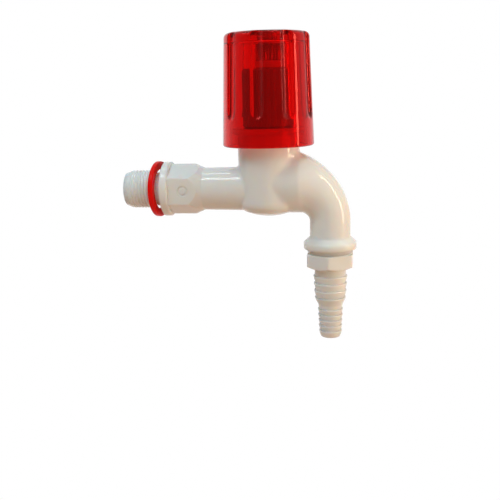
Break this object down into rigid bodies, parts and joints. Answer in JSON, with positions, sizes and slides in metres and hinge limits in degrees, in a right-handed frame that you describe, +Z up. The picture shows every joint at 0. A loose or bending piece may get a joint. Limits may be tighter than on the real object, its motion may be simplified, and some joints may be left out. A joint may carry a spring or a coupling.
{
  "type": "bib tap",
  "caption": "Plastic screw-down bib tap with a threaded wall inlet, a turned-down spout with a stepped hose nozzle and a tall fluted cap handle.",
  "frame": {"origin": "on the inlet axis, in the wall-side face of the collar", "axes": "+X along the inlet from the wall towards the spout, +Z up along the spindle, Y sideways"},
  "size_m": [0.1281, 0.0494, 0.1659],
  "materials": {
    "white_plastic": "milky white moulded plastic, satin gloss",
    "red_gasket": "smooth red rubber",
    "black_rubber": "matt black rubber",
    "grey_plastic": "dark grey moulded plastic",
    "red_clear_plastic": "clear red moulded plastic, glossy",
    "screw_steel": "plain steel"
  },
  "bodies": {
    "body": {"tap_body": "white_plastic", "inlet_gasket": "red_gasket", "hose_nozzle": "white_plastic", "nozzle_gasket": "black_rubber", "bonnet": "grey_plastic", "bonnet_gasket": "black_rubber"},
    "valve": {"valve_jumper": "white_plastic", "seat_washer": "black_rubber", "washer_screw": "screw_steel"},
    "operator": {"spindle": "white_plastic", "spindle_o_rings": "black_rubber", "handle": "red_clear_plastic", "handle_screw": "screw_steel", "handle_cap": "red_clear_plastic"}
  },
  "joints": [
    {"name": "valve_lift", "type": "slide", "parent": "body", "child": "valve", "axis": [0, 0, 1], "range_m": [0, 0.005]},
    {"name": "handle_turn", "type": "hinge", "parent": "valve", "child": "operator", "pos_m": [0.05903, 0, 0], "axis": [0, 0, 1], "range_deg": [0, 450]}
  ],
  "couplings": [
    {"joint": "valve_lift", "follows": "handle_turn", "m_per_rad": 0.00063661}
  ]
}
